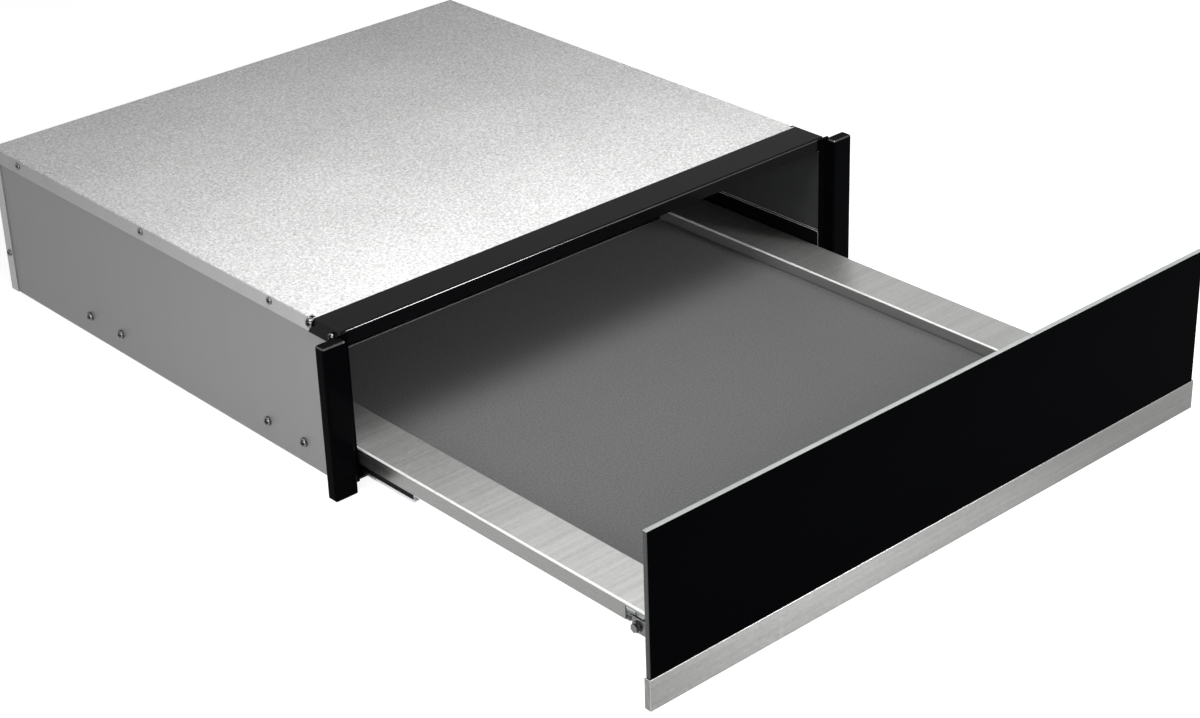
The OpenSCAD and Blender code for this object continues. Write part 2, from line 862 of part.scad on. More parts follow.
module panel_brackets() {
    t = panel_bracket_t;
    color("silver")
    both_sides()
    difference() {
        union() {
            block([pan_out, tray_front, bracket_foot_z],
                  [panel_bracket_x + t + runner_w * 0.3, tray_front + t, bracket_foot_z + panel_bracket_h]);
            block([panel_bracket_x, tray_front, bracket_foot_z],
                  [panel_bracket_x + t, tray_front + panel_bracket_len, bracket_foot_z + panel_bracket_h]);
            block([pan_out, tray_front, bracket_foot_z],
                  [panel_bracket_x + t, tray_front + panel_bracket_len, bracket_foot_z + t / 2]);
        }
        rod_x(bolt_y, bolt_z, bolt_r, pan_out + t, panel_bracket_x + 2 * t);
    }
}

module adjusting_bolts() {
    seat = panel_bracket_x + panel_bracket_t;
    color("silver")
    both_sides() {
        rod_x(bolt_y, bolt_z, bolt_r, pan_out, seat);
        rod_x(bolt_y, bolt_z, bolt_head_r, seat, seat + bolt_head_h * 0.35);
        translate([seat + bolt_head_h * 0.35, bolt_y, bolt_z])
            rotate([0, 90, 0])
            cylinder(h = bolt_head_h * 0.65, r = bolt_head_r * 0.8, $fn = 6);
    }
}

buffer_x = panel_w / 2 - strip_t - carrier_inset - 2.6 * buffer_r;
buffer_z_shares = [0.35, 0.8];

module rubber_buffers() {
    color([0.1, 0.1, 0.1])
    for (x = [-buffer_x, buffer_x], share = buffer_z_shares)
        translate([x, tray_front + buffer_h, panel_foot_z + panel_h * share])
            rotate([90, 0, 0])
            cylinder(h = buffer_h, r1 = buffer_r * 0.8, r2 = buffer_r);
}

// Tray

module drawer_tray() {
    color("silver")
    union() {
        both_sides()
            difference() {
                along_y(tray_front, tray_back)
                    fold(rim_in, skirt_out, rim_z, tray_depth, skirt_h, tray_t, fold_r);
                block([rim_in - cut, tray_front, tray_under],
                      [rim_in + 2 * tray_t, tray_front + tray_t, rim_under]);
                block([skirt_out - 2 * tray_t, tray_front - cut, skirt_foot - cut],
                      [skirt_out + cut, tray_front + panel_bracket_len, rim_z - 2 * fold_r]);
            }
        block([-rim_in - tray_t, control_back - tray_t, tray_under],
              [rim_in + tray_t, tray_back, tray_floor]);
        block([-rim_in - tray_t, control_back - tray_t, tray_under], [rim_in + tray_t, control_back, rim_under]);
        block([-rim_in - tray_t, back_stop_y, tray_under], [rim_in + tray_t, tray_back, tray_floor + back_stop_h]);
    }
}

module tray_mat() {
    mat_w = 2 * (rim_in - mat_gap);
    color([0.45, 0.45, 0.46])
    translate([-mat_w / 2, control_back + mat_gap, tray_floor])
        linear_extrude(height = mat_t)
        rounded(mat_w, back_stop_y - control_back - 2 * mat_gap, mat_r);
}

// A rectangle with four round corners
module rounded(w, d, r) {
    translate([r, 0])
        square([w - 2 * r, d]);
    translate([0, r])
        square([w, d - 2 * r]);
    for (x = [r, w - r], y = [r, d - r])
        translate([x, y])
            circle(r = r);
}

module drawer_pan() {
    color("lightgray")
    difference() {
        block([-pan_out, tray_front, pan_z], [pan_out, pan_back, rim_under]);
        block([-pan_in, tray_front + tray_t, pan_z + tray_t], [pan_in, pan_back - tray_t, rim_under + cut]);
        block([-rim_in - tray_t, pan_back - 2 * tray_t, tray_under], [rim_in + tray_t, pan_back + cut, rim_under + cut]);
    }
}

// Controls

module control_strip() {
    color("silver")
    difference() {
        union() {
            block([-rim_in, tray_front + tray_t, rim_under], [rim_in, control_back, rim_z]);
            block([-rim_in, tray_front + tray_t, tray_under], [rim_in, tray_front + 2 * tray_t, rim_z]);
        }
        rod_z(knob_x, control_y, knob_shaft_r + hole_gap, rim_under - cut, rim_z + cut);
        rod_z(lamp_x, control_y, lamp_r, rim_under - cut, rim_z + cut);
        switch_cut(rim_under - cut, rim_z + cut);
        for (x = [-rim_in, rim_in])
            rod_z(x * control_screw_share, control_y, screw_r, rim_under - cut, rim_z + cut);
        for (x = [-1, 1])
            rod_z(knob_x + x * thermostat_w * thermostat_screw_share, control_y, screw_r, rim_under - cut, rim_z + cut);
    }
}

control_screw_share = 0.93;
thermostat_screw_share = 0.42;

module switch_cut(from, to) {
    block([switch_x - rocker_len / 2 - rocker_gap - bezel_h, control_y - rocker_w / 2 - rocker_gap - bezel_h, from],
          [switch_x + rocker_len / 2 + rocker_gap + bezel_h, control_y + rocker_w / 2 + rocker_gap + bezel_h, to]);
}

module thermostat_body() {
    foot = rim_under - thermostat_h;
    color("khaki")
    difference() {
        union() {
            block([knob_x - thermostat_w / 2, control_y - thermostat_w / 2, foot + gauge_t],
                  [knob_x + thermostat_w / 2, control_y + thermostat_w / 2, rim_under]);
            rod_z(knob_x, control_y, thermostat_w * 0.3, foot, foot + 2 * gauge_t);
        }
        rod_z(knob_x, control_y, knob_shaft_r + shaft_gap, foot + 4 * gauge_t, rim_under + cut);
        for (x = [-1, 1])
            rod_z(knob_x + x * thermostat_w * thermostat_screw_share, control_y, screw_r, foot + 4 * gauge_t, rim_under + cut);
    }
}

shaft_top = knob_foot + knob_h * 0.7;

module thermostat_shaft() {
    flat = knob_shaft_r * 0.6;
    color("silver")
    difference() {
        rod_z(knob_x, control_y, knob_shaft_r, rim_under - thermostat_h + 4 * gauge_t + shaft_gap, shaft_top);
        block([knob_x + flat, control_y - knob_shaft_r - cut, knob_foot],
              [knob_x + knob_shaft_r + cut, control_y + knob_shaft_r + cut, shaft_top + cut]);
    }
}

knob_ribs = 24;

module thermostat_knob() {
    skirt = knob_h * 0.2;
    grip_r = knob_r * 0.82;
    color([0.08, 0.08, 0.085])
    difference() {
        union() {
            rod_z(knob_x, control_y, knob_r, knob_foot, knob_foot + skirt);
            translate([knob_x, control_y, knob_foot + skirt])
                cylinder(h = knob_h - skirt - gauge_t / 2, r1 = grip_r, r2 = grip_r * 0.92);
            translate([knob_x, control_y, knob_foot + knob_h - gauge_t / 2])
                cylinder(h = gauge_t / 2, r1 = grip_r * 0.92, r2 = grip_r * 0.85);
            for (i = [0 : knob_ribs - 1])
                translate([knob_x, control_y, knob_foot + skirt])
                    rotate([0, 0, i * 360 / knob_ribs])
                    block([grip_r * 0.8, -gauge_t / 3, 0], [grip_r * 1.04, gauge_t / 3, knob_h - skirt - gauge_t]);
        }
        difference() {
            rod_z(knob_x, control_y, knob_shaft_r, knob_foot - cut, shaft_top);
            block([knob_x + knob_shaft_r * 0.6, control_y - knob_shaft_r - cut, knob_foot - cut],
                  [knob_x + knob_shaft_r + cut, control_y + knob_shaft_r + cut, shaft_top + cut]);
        }
        block([knob_x - gauge_t / 3, control_y - knob_r - cut, knob_foot + knob_h - gauge_t / 2],
              [knob_x + gauge_t / 3, control_y - grip_r * 0.3, knob_foot + knob_h + cut]);
    }
}

probe_x_share = 0.4;
capillary_r = 0.8;
probe_r = 3;
probe_len = 60;

module thermostat_probe() {
    probe_x = pan_in * probe_x_share;
    probe_y = control_back + control_d;
    z = tray_under - probe_r;
    color("peru")
    union() {
        rod_y(probe_x, z, probe_r, probe_y, probe_y + probe_len);
        wire([[knob_x, control_y + thermostat_w / 2, z], [knob_x, control_back + control_d / 2, z],
              [probe_x, control_back + control_d / 2, z], [probe_x, probe_y + capillary_r, z]], capillary_r);
    }
}

module switch_body() {
    wall = bezel_h;
    inner_x = rocker_len / 2 + rocker_gap;
    inner_y = rocker_w / 2 + rocker_gap;
    color([0.06, 0.06, 0.065])
    difference() {
        union() {
            block([switch_x - switch_len / 2, control_y - switch_w / 2, rim_z],
                  [switch_x + switch_len / 2, control_y + switch_w / 2, rim_z + bezel_h]);
            block([switch_x - inner_x - wall, control_y - inner_y - wall, rim_under - switch_body_h],
                  [switch_x + inner_x + wall, control_y + inner_y + wall, rim_z]);
        }
        block([switch_x - inner_x, control_y - inner_y, pivot_z - rocker_h],
              [switch_x + inner_x, control_y + inner_y, rim_z + bezel_h + cut]);
        rod_y(switch_x, pivot_z, pivot_r + shaft_gap, control_y - inner_y - wall / 2, control_y + inner_y + wall / 2);
    }
}

// The rocker lies tilted to its off side
module power_rocker() {
    color([0.1, 0.1, 0.11])
    translate([switch_x, control_y, pivot_z])
        rotate([0, -rocker_tilt, 0])
        translate([0, rocker_w / 2, 0])
        rotate([90, 0, 0])
        union() {
            linear_extrude(height = rocker_w)
                polygon([
                    [-rocker_len / 2 + rocker_gap / 2, 0],
                    [-rocker_len / 3, -rocker_h / 2],
                    [rocker_len / 3, -rocker_h / 2],
                    [rocker_len / 2 - rocker_gap / 2, 0],
                    [rocker_len / 2 - rocker_gap, rocker_h * 0.72],
                    [0, rocker_h * 0.5],
                    [-rocker_len / 2 + rocker_gap, rocker_h * 0.72]
                ]);
            translate([0, 0, -rocker_gap - bezel_h / 3])
                cylinder(h = rocker_w + 2 * rocker_gap + 2 * bezel_h / 3, r = pivot_r);
        }
}

module indicator_lamp() {
    color([0.9, 0.45, 0.1])
    union() {
        rod_z(lamp_x, control_y, lamp_r, rim_under - lamp_body_h, rim_z);
        rod_z(lamp_x, control_y, lamp_r * 1.35, rim_z, rim_z + bezel_h / 2);
        intersection() {
            translate([lamp_x, control_y, rim_z + bezel_h / 2 - lamp_r * 0.5])
                sphere(r = lamp_r * 1.1);
            rod_z(lamp_x, control_y, 2 * lamp_r, rim_z, rim_z + 2 * lamp_r);
        }
    }
}

loom_r = 2.5;
connector_w = 30;

module drawer_wiring() {
    z = pan_z + tray_t + loom_r;
    loom_x = (rim_in + pan_out) / 2;
    y = tray_front + 2 * tray_t + loom_r;
    color("whitesmoke")
    union() {
        wire([[lamp_x, control_y, rim_under - lamp_body_h], [lamp_x, control_y, z],
              [lamp_x, y, z], [loom_x, y, z], [loom_x, pan_back - connector_w, z]], loom_r / 2);
        wire([[switch_x, control_y, rim_under - switch_body_h], [switch_x, control_y, z], [switch_x, y, z]], loom_r / 2);
        wire([[knob_x, control_y, rim_under - thermostat_h], [knob_x, control_y, z], [knob_x, y, z]], loom_r / 2);
        block([loom_x - loom_r * 2, pan_back - connector_w, pan_z + tray_t],
              [loom_x + loom_r * 2, pan_back - tray_t, pan_z + tray_t + 3 * loom_r]);
    }
}

// Fan and heater

module fan_wheel() {
    hub_r = fan_shaft_r + 4;
    plate_t = 1.2;
    color("silver")
    difference() {
        union() {
            rod_y(0, fan_z, fan_r, fan_y + fan_d - plate_t, fan_y + fan_d);
            rod_y(0, fan_z, hub_r, fan_y, fan_y + fan_d);
            for (i = [0 : fan_blades - 1])
                translate([0, 0, fan_z])
                    rotate([0, i * 360 / fan_blades, 0])
                    block([fan_r * 0.55, fan_y, -plate_t / 2], [fan_r * 0.99, fan_y + fan_d, plate_t / 2]);
            difference() {
                rod_y(0, fan_z, fan_r, fan_y, fan_y + plate_t);
                rod_y(0, fan_z, fan_r * 0.8, fan_y - cut, fan_y + 2 * plate_t);
            }
        }
        rod_y(0, fan_z, fan_shaft_r, fan_y - cut, fan_y + fan_d + cut);
    }
}

module fan_shaft() {
    color("gray")
    rod_y(0, fan_z, fan_shaft_r, fan_y - sheet_t, back_in - 2 * sheet_t);
}

module fan_motor() {
    stack_w = motor_r * 1.5;
    color("dimgray")
    difference() {
        union() {
            rod_y(0, fan_z, motor_r, motor_front + motor_d * 0.25, back_in);
            rod_y(0, fan_z, motor_r * 0.4, motor_front, back_in);
            translate([-stack_w / 2, motor_front + motor_d * 0.4, fan_z - motor_r * 1.35])
                cube([stack_w, motor_d * 0.45, motor_r * 1.35]);
            block([-motor_screw_r - sheet_head_r, back_in - 2 * sheet_t, fan_z - sheet_head_r],
                  [motor_screw_r + sheet_head_r, back_in, fan_z + sheet_head_r]);
        }
        rod_y(0, fan_z, fan_shaft_r + shaft_gap, motor_front - cut, back_in - sheet_t);
        for (x = [-motor_screw_r, motor_screw_r])
            rod_y(x, fan_z, screw_r, motor_front, back_in + cut);
    }
}

heater_gap_angle = 36;
leg_x = heater_ring_r * sin(heater_gap_angle / 2);
leg_z = fan_z - heater_ring_r * cos(heater_gap_angle / 2);
plate_w = 2 * leg_x + 6 * heater_r;

module heater_ring() {
    color([0.3, 0.3, 0.32])
    union() {
        translate([0, heater_y, fan_z])
            rotate([90, 0, 0])
            rotate([0, 0, -90 + heater_gap_angle / 2])
            rotate_extrude(angle = 360 - heater_gap_angle)
            translate([heater_ring_r, 0])
            circle(r = heater_r, $fn = 24);
        for (x = [-leg_x, leg_x]) {
            rod_y(x, leg_z, heater_r, heater_y, back_in, $fn = 24);
            translate([x, heater_y, leg_z])
                sphere(r = heater_r * bend_share, $fn = 24);
        }
        block([-plate_w / 2, back_in - 2 * sheet_t, leg_z - 2 * heater_r],
              [plate_w / 2, back_in, leg_z + 2 * heater_r]);
    }
}

module temperature_limiter() {
    x = half_w * 0.32;
    z = roof_z - 2 * limiter_r;
    color("ivory")
    union() {
        rod_y(x, z, limiter_r, duct_back, duct_back + limiter_h);
        block([x - limiter_r * 1.7, duct_back, z - limiter_r * 0.4],
              [x + limiter_r * 1.7, duct_back + sheet_t, z + limiter_r * 0.4]);
        for (side = [-1, 1])
            block([x + side * limiter_r * 0.5 - sheet_t / 2, duct_back, z - limiter_r * 0.3],
                  [x + side * limiter_r * 0.5 + sheet_t / 2, duct_back + limiter_h * 2, z + limiter_r * 0.3]);
    }
}

terminal_w = 50;
terminal_d = 20;
terminal_h = 16;
terminal_ways = 3;
terminal_gap = 14;
terminal_z = gland_z + gland_r + terminal_gap;

module terminal_block() {
    way_w = terminal_w / terminal_ways;
    color("ivory")
    difference() {
        block([gland_x - terminal_w / 2, back_in - terminal_d, terminal_z],
              [gland_x + terminal_w / 2, back_in, terminal_z + terminal_h]);
        for (i = [0 : terminal_ways - 1])
            rod_y(gland_x + (i - (terminal_ways - 1) / 2) * way_w, terminal_z + terminal_h / 2,
                  way_w * 0.3, back_in - terminal_d - cut, back_in - terminal_d + terminal_d / 3);
        for (i = [1 : terminal_ways - 1])
            block([gland_x - terminal_w / 2 + i * way_w - sheet_t / 2, back_in - terminal_d - cut, terminal_z - cut],
                  [gland_x - terminal_w / 2 + i * way_w + sheet_t / 2, back_in - terminal_d / 2, terminal_z + terminal_h + cut]);
    }
}

gland_t = 2;

module cable_gland() {
    color([0.1, 0.1, 0.1])
    difference() {
        union() {
            rod_y(gland_x, gland_z, gland_r, back_in - 3 * gland_t, back_y);
            rod_y(gland_x, gland_z, gland_r * 1.4, back_y, back_y + gland_t);
            rod_y(gland_x, gland_z, gland_r * 1.3, back_in - gland_t, back_in);
        }
        rod_y(gland_x, gland_z, inlet_r, back_in - 4 * gland_t, back_y + 2 * gland_t);
    }
}

module case_wiring() {
    y = back_in - terminal_d / 2;
    top = terminal_z + terminal_h;
    high = roof_z - 2 * loom_r;
    limiter_x = half_w * 0.32;
    color("whitesmoke")
    union() {
        wire([[gland_x, y, top], [gland_x, y, high], [limiter_x, y, high],
              [limiter_x, y, roof_z - 2 * limiter_r], [limiter_x, duct_back + limiter_h, roof_z - 2 * limiter_r]], loom_r / 2);
        wire([[gland_x + loom_r * 4, y, top], [gland_x + loom_r * 4, y, high]], loom_r / 2);
        wire([[0, y, high], [0, y, fan_z + motor_r]], loom_r / 2);
        wire([[gland_x + terminal_w / 2, back_in - loom_r, terminal_z + loom_r],
              [-heater_ring_r * 1.9, back_in - loom_r, terminal_z + loom_r],
              [-heater_ring_r * 1.9, back_in - loom_r, leg_z],
              [-plate_w / 2, back_in - loom_r, leg_z]], loom_r / 2);
    }
}

// Latch

module latch_body() {
    color([0.12, 0.12, 0.13])
    difference() {
        union() {
            rod_y(latch_x, latch_z, latch_r, duct_back, duct_back + latch_len);
            block([latch_x - latch_r / 2, duct_back, sheet_t], [latch_x + latch_r / 2, duct_back + latch_len, latch_z]);
            block([latch_x - latch_foot_w / 2, duct_back, sheet_t],
                  [latch_x + latch_foot_w / 2, duct_back + latch_len, 3 * sheet_t]);
        }
        rod_y(latch_x, latch_z, plunger_r + shaft_gap, duct_back - cut, duct_back + latch_len - 2 * sheet_t);
    }
}

plunger_back = duct_back + latch_len * 0.55;

module latch_plunger() {
    color("gainsboro")
    rod_y(latch_x, latch_z, plunger_r, plunger_tip, plunger_back);
}

module latch_spring() {
    color("silver")
    difference() {
        rod_y(latch_x, latch_z, plunger_r * 0.8, plunger_back, duct_back + latch_len - 2 * sheet_t);
        rod_y(latch_x, latch_z, plunger_r * 0.6, plunger_back - cut, duct_back + latch_len);
    }
}

// Fasteners

module runner_screws() {
    color("silver")
    both_sides()
    for (share = bracket_places_shares, side = [-1, 1])
        side_screw(bracket_y(share) + side * bracket_screw_pitch / 2, runner_screw_z, side_out,
                   runner_head_r, runner_head_h, sheet_t + 2 * runner_t);
}

module cover_screws() {
    color("silver")
    both_sides() {
        for (share = cover_screw_shares)
            side_screw(front_y + case_d * share, cover_screw_z, half_w, sheet_head_r, sheet_head_h, 6 * sheet_t);
        side_screw(back_y - back_flange_w / 2, case_h * back_screw_share, half_w, sheet_head_r, sheet_head_h, 6 * sheet_t);
    }
}

// A larger screw at the cover's front corner, and a dome-headed one in the rail's end
module rail_screws() {
    dome_r = sheet_head_r * 1.1;
    color("silver")
    both_sides() {
        side_screw(corner_screw_y, cover_screw_z, half_w, runner_head_r, runner_head_h, 6 * sheet_t);
        rod_x(rail_screw_y, rail_screw_z, screw_r, half_w - 6 * sheet_t, half_w);
        intersection() {
            translate([half_w, rail_screw_y, rail_screw_z])
                sphere(r = dome_r);
            rod_x(rail_screw_y, rail_screw_z, 2 * dome_r, half_w, half_w + 2 * dome_r);
        }
    }
}

module back_screws() {
    color("silver")
    for (share = back_screw_x_shares)
        back_screw(half_w * share, sheet_t + base_flange_h / 2, back_y, 3 * sheet_t);
}

module control_screws() {
    color("silver")
    union() {
        for (x = [-rim_in, rim_in])
            top_screw(x * control_screw_share, control_y, rim_z, sheet_head_h, 5 * tray_t);
        for (x = [-1, 1])
            top_screw(knob_x + x * thermostat_w * thermostat_screw_share, control_y, rim_z, knob_gap * 0.6, 5 * tray_t);
    }
}

module motor_screws() {
    color("silver")
    for (x = [-motor_screw_r, motor_screw_r])
        back_screw(x, fan_z, back_y, 5 * sheet_t);
}

top_cover();
side_panel_left();
side_panel_right();
back_panel();
base_pan();
side_liner_left();
side_liner_right();
cavity_ceiling();
duct_panel();
bay_floor();
top_rail();
lower_rail();
side_trim_left();
side_trim_right();
runner_brackets();
fixed_runner_left();
fixed_runner_right();
middle_runner_left();
middle_runner_right();
outer_ball_cages();
inner_ball_cages();
drawer_runner_left();
drawer_runner_right();
front_glass();
front_strip();
front_carrier();
panel_brackets();
adjusting_bolts();
rubber_buffers();
drawer_tray();
tray_mat();
drawer_pan();
control_strip();
thermostat_body();
thermostat_shaft();
thermostat_knob();
thermostat_probe();
switch_body();
power_rocker();
indicator_lamp();
drawer_wiring();
fan_wheel();
fan_shaft();
fan_motor();
heater_ring();
temperature_limiter();
terminal_block();
cable_gland();
case_wiring();
latch_body();
latch_plunger();
latch_spring();
runner_screws();
cover_screws();
rail_screws();
back_screws();
control_screws();
motor_screws();
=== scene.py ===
import json
import math

import bmesh
import bpy
from mathutils import Matrix, Vector


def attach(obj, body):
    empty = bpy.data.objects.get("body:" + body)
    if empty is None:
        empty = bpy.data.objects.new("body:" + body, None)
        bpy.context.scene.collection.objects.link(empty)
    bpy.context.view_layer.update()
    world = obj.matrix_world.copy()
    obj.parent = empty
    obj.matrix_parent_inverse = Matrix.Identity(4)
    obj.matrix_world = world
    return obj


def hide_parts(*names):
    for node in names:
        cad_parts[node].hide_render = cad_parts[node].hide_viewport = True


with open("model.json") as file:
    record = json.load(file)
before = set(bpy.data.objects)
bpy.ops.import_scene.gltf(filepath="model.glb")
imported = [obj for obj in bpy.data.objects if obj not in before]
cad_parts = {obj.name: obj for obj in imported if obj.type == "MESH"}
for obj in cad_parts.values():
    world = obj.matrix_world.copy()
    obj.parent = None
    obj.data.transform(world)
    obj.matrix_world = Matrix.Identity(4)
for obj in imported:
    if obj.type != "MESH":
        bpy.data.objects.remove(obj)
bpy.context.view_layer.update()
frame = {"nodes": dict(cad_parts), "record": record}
NODES = frame["nodes"]
BODY_OF = {n: b for b, ns in frame["record"]["behaviour"]["bodies"].items() for n in ns}
SLOT_OF = {s["node"]: s["material_slot"] for s in frame["record"]["subparts"]}
scene = bpy.context.scene

MERGE = 2e-6            # metres, points nearer than this are one point
SQUARE = 0.985          # cosine past which a face counts as square to an axis
MIDDLE = (0.3, 0.7)     # where the values of a noise mostly lie

# Widths of broken edges, in metres.
SHEET_EDGE = 0.0002
TRAY_EDGE = 0.00025
FOLD_EDGE = 0.0003
PLATE_EDGE = 0.0004
PLASTIC_EDGE = 0.0005
MAT_EDGE = 0.0009

# Places that tell the faces of one piece apart, in metres.
LEDGE_Z = 0.05          # height of the ledge in the side liners
GROOVE_X = 0.2493       # web of the runners' middle members
GROOVE_NEAR = 0.0003    # how near to the web a face has to lie
RIM_X = 0.25            # between the tray's walls and its skirts

# Parts of a face's normal that tell which way it looks.
UPWARD = 0.3
SIDEWAYS = 0.9
CORNERWISE = -0.62
LEVEL = 0.95


# ---------------------------------------------------------------- materials

class Tree:
    """A material's node tree, with short calls for the nodes used here."""

    def __init__(self, name):
        self.mat = bpy.data.materials.new(name)
        self.mat.use_nodes = True
        self.nt = self.mat.node_tree
        self.bsdf = self.nt.nodes["Principled BSDF"]
        self.place = self.nt.nodes.new("ShaderNodeTexCoord").outputs["Object"]

    def link(self, a, b):
        self.nt.links.new(a, b)

    def set(self, **values):
        for key, value in values.items():
            self.bsdf.inputs[key.replace("_", " ")].default_value = value

    def scaled(self, x, y, z):
        n = self.nt.nodes.new("ShaderNodeMapping")
        n.inputs["Scale"].default_value = (x, y, z)
        self.link(self.place, n.inputs["Vector"])
        return n.outputs["Vector"]

    def noise(self, scale, detail=2.0, rough=0.5, at=None):
        n = self.nt.nodes.new("ShaderNodeTexNoise")
        n.inputs["Scale"].default_value = scale
        n.inputs["Detail"].default_value = detail
        n.inputs["Roughness"].default_value = rough
        self.link(at or self.place, n.inputs["Vector"])
        return n.outputs["Fac"]

    def cells(self, scale):
        """A value of its own for each cell of a crystal pattern."""
        n = self.nt.nodes.new("ShaderNodeTexVoronoi")
        n.inputs["Scale"].default_value = scale
        self.link(self.place, n.inputs["Vector"])
        parts = self.nt.nodes.new("ShaderNodeSeparateColor")
        self.link(n.outputs["Color"], parts.inputs["Color"])
        return parts.outputs[0]

    def span(self, value, low, high, to_low, to_high):
        n = self.nt.nodes.new("ShaderNodeMapRange")
        n.inputs["From Min"].default_value = low
        n.inputs["From Max"].default_value = high
        n.inputs["To Min"].default_value = to_low
        n.inputs["To Max"].default_value = to_high
        self.link(value, n.inputs["Value"])
        return n.outputs["Result"]

    def math(self, kind, a, b):
        n = self.nt.nodes.new("ShaderNodeMath")
        n.operation = kind
        for socket, v in zip(n.inputs, (a, b)):
            if isinstance(v, float):
                socket.default_value = v
            else:
                self.link(v, socket)
        return n.outputs[0]

    def mix(self, fac, a, b):
        """A colour from a to b as fac goes from 0 to 1."""
        n = self.nt.nodes.new("ShaderNodeMix")
        n.data_type = "RGBA"
        self.link(fac, n.inputs[0])
        n.inputs[6].default_value = (*a, 1.0)
        n.inputs[7].default_value = (*b, 1.0)
        return n.outputs[2]

    def shade(self, value, reach, base, contrast):
        """The base colour, darker at -reach and lighter at reach by the contrast."""
        fac = self.span(value, -reach, reach, 0.0, 1.0)
        self.colour(self.mix(fac, tint(base, 1 - contrast), tint(base, 1 + contrast)))

    def bump(self, height, strength, distance, under=None):
        n = self.nt.nodes.new("ShaderNodeBump")
        n.inputs["Strength"].default_value = strength
        n.inputs["Distance"].default_value = distance
        self.link(height, n.inputs["Height"])
        if under is not None:
            self.link(under, n.inputs["Normal"])
        return n.outputs["Normal"]

    def colour(self, value):
        self.link(value, self.bsdf.inputs["Base Color"])

    def roughness(self, value):
        self.link(value, self.bsdf.inputs["Roughness"])

    def normal(self, value):
        self.link(value, self.bsdf.inputs["Normal"])


def tint(c, k):
    """The colour c, k times as bright."""
    return tuple(min(1.0, v * k) for v in c)


def spangled(name, base, contrast, rough=(0.40, 0.56), metallic=0.85, grain=1.0, specular=0.5):
    """Hot-dip galvanised sheet: small crystals of many greys."""
    t = Tree(name)
    fine = t.cells(820.0 * grain)
    soft = t.noise(430.0 * grain, 4.0, 0.72)
    cloud = t.noise(9.0, 3.0, 0.55)
    speck = t.math("ADD", t.span(fine, 0, 1, -0.42, 0.42), t.span(soft, 0.32, 0.68, -0.75, 0.75))
    speck = t.math("ADD", speck, t.span(cloud, *MIDDLE, -0.12, 0.12))
    t.shade(speck, 1.2, base, contrast)
    t.roughness(t.span(fine, 0, 1, rough[0], rough[1]))
    t.normal(t.bump(soft, 0.30, 0.00006, t.bump(cloud, 0.05, 0.002)))
    t.set(Metallic=metallic, Specular_IOR_Level=specular)
    return t.mat


def coated_sheet(name, base, rough=0.42, grain=900.0, metallic=0.6, contrast=0.04):
    """Rolled sheet with a thin coat: faint rolling streaks and a fine grain."""
    t = Tree(name)
    streak = t.noise(1.0, 3.0, 0.6, at=t.scaled(60, 60, 1.5))
    fine = t.noise(grain, 3.0, 0.7)
    cloud = t.noise(5.0, 3.0, 0.55)
    v = t.math("ADD", t.span(fine, *MIDDLE, -0.6, 0.6), t.span(cloud, *MIDDLE, -0.35, 0.35))
    v = t.math("ADD", v, t.span(streak, *MIDDLE, -0.35, 0.35))
    t.shade(v, 1.2, base, contrast)
    t.roughness(t.span(fine, *MIDDLE, rough - 0.04, rough + 0.05))
    t.normal(t.bump(fine, 0.12, 0.00003))
    t.set(Metallic=metallic)
    return t.mat


def brushed(name, base, along, rough, contrast=0.07, metallic=1.0, lines=1500.0, smear=0.0,
            slow=14.0):
    """Brushed steel: streaks along one way, with highlights drawn out by smear."""
    t = Tree(name)
    if smear:
        n = t.nt.nodes.new("ShaderNodeTangent")
        n.direction_type = "RADIAL"
        n.axis = along.upper()
        t.link(n.outputs["Tangent"], t.bsdf.inputs["Tangent"])
        t.set(Anisotropic=smear)

    def drawn_out(across, lengthwise):
        return t.scaled(*(lengthwise if way == along else across for way in "xyz"))

    streak = t.noise(1.0, 3.0, 0.65, at=drawn_out(lines, slow))
    wide = t.noise(1.0, at=drawn_out(260, 3))
    cloud = t.noise(6.0, 2.0, 0.5)
    v = t.math("ADD", t.span(streak, 0.25, 0.75, -0.6, 0.6), t.span(wide, *MIDDLE, -0.35, 0.35))
    v = t.math("ADD", v, t.span(cloud, *MIDDLE, -0.2, 0.2))
    t.shade(v, 1.1, base, contrast)
    t.roughness(t.span(streak, 0.25, 0.75, rough - 0.05, rough + 0.08))
    t.normal(t.bump(streak, 0.10, 0.00003))
    t.set(Metallic=metallic)
    return t.mat


def plated(name, base, rough=0.24, contrast=0.08):
    """Bright zinc plating, a little uneven."""
    t = Tree(name)
    cloud = t.noise(60.0, 3.0, 0.6)
    fine = t.noise(900.0, 2.0, 0.5)
    t.colour(t.mix(cloud, tint(base, 1 - contrast), tint(base, 1 + contrast)))
    t.roughness(t.span(fine, *MIDDLE, rough - 0.05, rough + 0.08))
    t.normal(t.bump(fine, 0.06, 0.00003))
    t.set(Metallic=1.0)
    return t.mat


def lacquer(name, base, rough, specular, peel=260.0, dust=0.35):
    """Gloss paint over sheet: a faint orange peel and a little dust in the roughness."""
    t = Tree(name)
    wave = t.noise(peel, 2.0, 0.5)
    dust_n = t.noise(35.0, 4.0, 0.65)
    fine = t.noise(1800.0, 1.0, 0.5)
    t.colour(t.mix(t.span(dust_n, 0.35, 0.75, 0.0, dust), base, tint(base, 1.6)))
    spots = t.math("ADD", t.math("MULTIPLY", dust_n, 0.7), t.math("MULTIPLY", fine, 0.3))
    t.roughness(t.span(spots, *MIDDLE, rough - 0.03, rough + 0.05))
    t.normal(t.bump(wave, 0.04, 0.0002))
    t.set(Metallic=0.0, Specular_IOR_Level=specular)
    return t.mat


